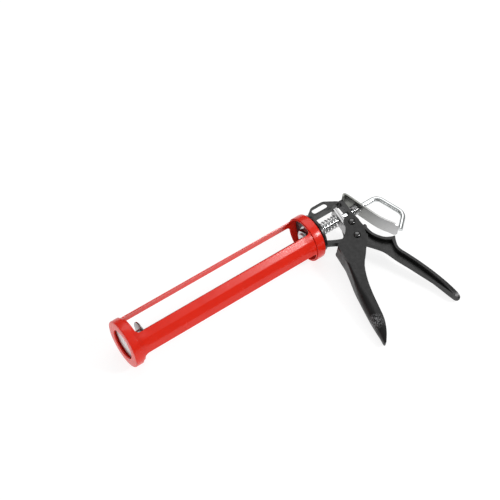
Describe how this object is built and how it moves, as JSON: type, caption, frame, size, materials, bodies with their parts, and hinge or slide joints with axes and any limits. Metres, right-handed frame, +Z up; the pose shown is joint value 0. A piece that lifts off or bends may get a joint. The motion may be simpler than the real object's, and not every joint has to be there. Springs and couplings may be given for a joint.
{
  "type": "caulking gun",
  "caption": "Skeleton caulking gun: turning red sheet-steel cradle for a sealant cartridge, hooked push rod, black frame with handle, trigger and release lever.",
  "frame": {"origin": "bottom centre of the gun's box as it lies on its side on a table", "axes": "+X along the rod from the nozzle end to the rear hook, -Y is the side that the handle points to, +Z up from the table; the gun's mid plane leans 7.7 degrees about +X so that the trigger tip touches the table"},
  "size_m": [0.3656, 0.1896, 0.056],
  "materials": {
    "red_paint": "glossy red enamel on pressed sheet steel",
    "galvanised": "dull galvanised sheet",
    "zinc": "bright zinc plate",
    "bright_nut": "bright nickel plate",
    "black_washer": "black nylon washer",
    "black_frame": "semi-gloss black coat on a casting, lightly textured",
    "black_trigger": "semi-gloss black coat, rubbed near the tip",
    "black_rivet": "gloss black domed heads",
    "drive_plate": "bright zinc plate",
    "spring_steel": "bright plated spring wire",
    "lever_zinc": "zinc-plated steel, brushed",
    "rod_chrome": "bright plated steel rod",
    "push_plate_zinc": "zinc-plated pressed disc"
  },
  "bodies": {
    "frame": {"handle_frame": "black_frame", "swivel_bolt": "zinc", "hub_washer": "zinc", "hub_nut": "bright_nut", "swivel_washer": "black_washer", "stop_pin": "black_frame", "main_spring": "spring_steel", "release_spring": "spring_steel"},
    "cradle": {"front_cup": "red_paint", "barrel_shell": "red_paint", "rear_collar": "red_paint", "rear_plate": "galvanised"},
    "trigger": {"trigger": "black_trigger", "pivot_rivet": "black_rivet", "drive_rivet": "black_rivet"},
    "sleeve": {"drive_sleeve": "zinc"},
    "drive": {"drive_plate_front": "drive_plate", "drive_plate_rear": "drive_plate"},
    "lever": {"release_lever": "lever_zinc"},
    "rod": {"push_rod": "rod_chrome", "push_plate": "push_plate_zinc", "plate_nut": "zinc", "plate_washer": "zinc", "guide_disc": "zinc"}
  },
  "joints": [
    {"name": "cradle_spin", "type": "hinge", "parent": "frame", "child": "cradle", "pos_m": [0.06719, 0.06464, 0.02801], "axis": [1, 0, 0], "continuous": true},
    {"name": "trigger_pull", "type": "hinge", "parent": "frame", "child": "trigger", "pos_m": [0.11169, 0.03174, 0.02355], "axis": [0, -0.1343, 0.9909], "range_deg": [0, 25], "stiffness_Nm_per_rad": 0.5, "springref_deg": -14.32},
    {"name": "sleeve_spin", "type": "hinge", "parent": "trigger", "child": "sleeve", "pos_m": [0.11789, 0.04918, 0.02591], "axis": [0, -0.1343, 0.9909], "continuous": true},
    {"name": "drive_slide", "type": "slide", "parent": "frame", "child": "drive", "axis": [-1, 0, 0], "range_m": [0, 0.0085], "deforming": ["main_spring"]},
    {"name": "lever_press", "type": "hinge", "parent": "frame", "child": "lever", "pos_m": [0.13179, 0.08248, 0.03042], "axis": [0, 0.1343, -0.9909], "range_deg": [0, 6], "stiffness_Nm_per_rad": 0.3, "springref_deg": -6.88, "deforming": ["release_spring"]},
    {"name": "rod_slide", "type": "slide", "parent": "frame", "child": "rod", "axis": [1, 0, 0], "range_m": [0, 0.216]}
  ],
  "couplings": [
    {"joint": "drive_slide", "follows": "trigger_pull", "m_per_rad": 0.0184}
  ]
}
